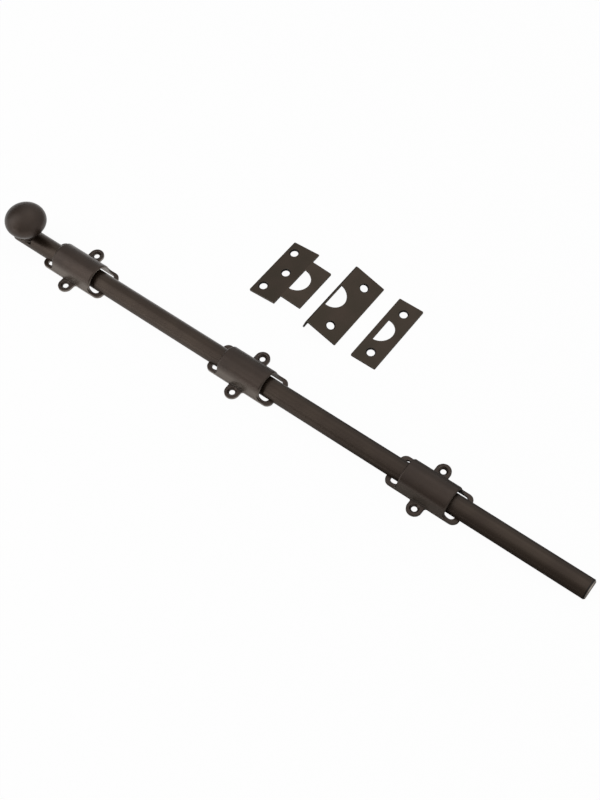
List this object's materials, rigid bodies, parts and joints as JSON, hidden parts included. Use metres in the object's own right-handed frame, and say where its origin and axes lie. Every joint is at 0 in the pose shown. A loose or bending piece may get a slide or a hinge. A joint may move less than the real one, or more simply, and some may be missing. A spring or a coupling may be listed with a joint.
{
  "type": "surface bolt",
  "caption": "Surface bolt with a half-round rod and round knob sliding in arched guides, laid out with its universal, angle and mortise strikes.",
  "frame": {"origin": "on the door's face, midway between the two screw holes of the middle guide", "axes": "+X along the rod towards its tip, +Y across the rod towards the loose strikes, +Z out of the door's face"},
  "size_m": [0.61, 0.1723, 0.0416],
  "materials": {
    "rod_bronze": "oil-rubbed dark bronze over drawn brass, satin",
    "knob_bronze": "oil-rubbed dark bronze over turned brass, satin",
    "guide_bronze": "oil-rubbed dark bronze over cast brass, satin",
    "strike_bronze": "oil-rubbed dark bronze over stamped brass, satin",
    "screw_bronze": "dark bronze",
    "spring_steel": "blued spring steel"
  },
  "bodies": {
    "guides": {"guide_knob_end": "guide_bronze", "guide_middle": "guide_bronze", "guide_tip_end": "guide_bronze", "spring_knob_end": "spring_steel", "spring_middle": "spring_steel", "spring_tip_end": "spring_steel", "strike_universal": "strike_bronze", "strike_angle": "strike_bronze", "strike_mortise": "strike_bronze"},
    "bolt": {"bolt_rod": "rod_bronze", "knob": "knob_bronze", "knob_screw": "screw_bronze", "stop_screw": "screw_bronze"}
  },
  "joints": [
    {"name": "bolt_slide", "type": "slide", "parent": "guides", "child": "bolt", "axis": [1, 0, 0], "range_m": [-0.03, 0.025]}
  ]
}
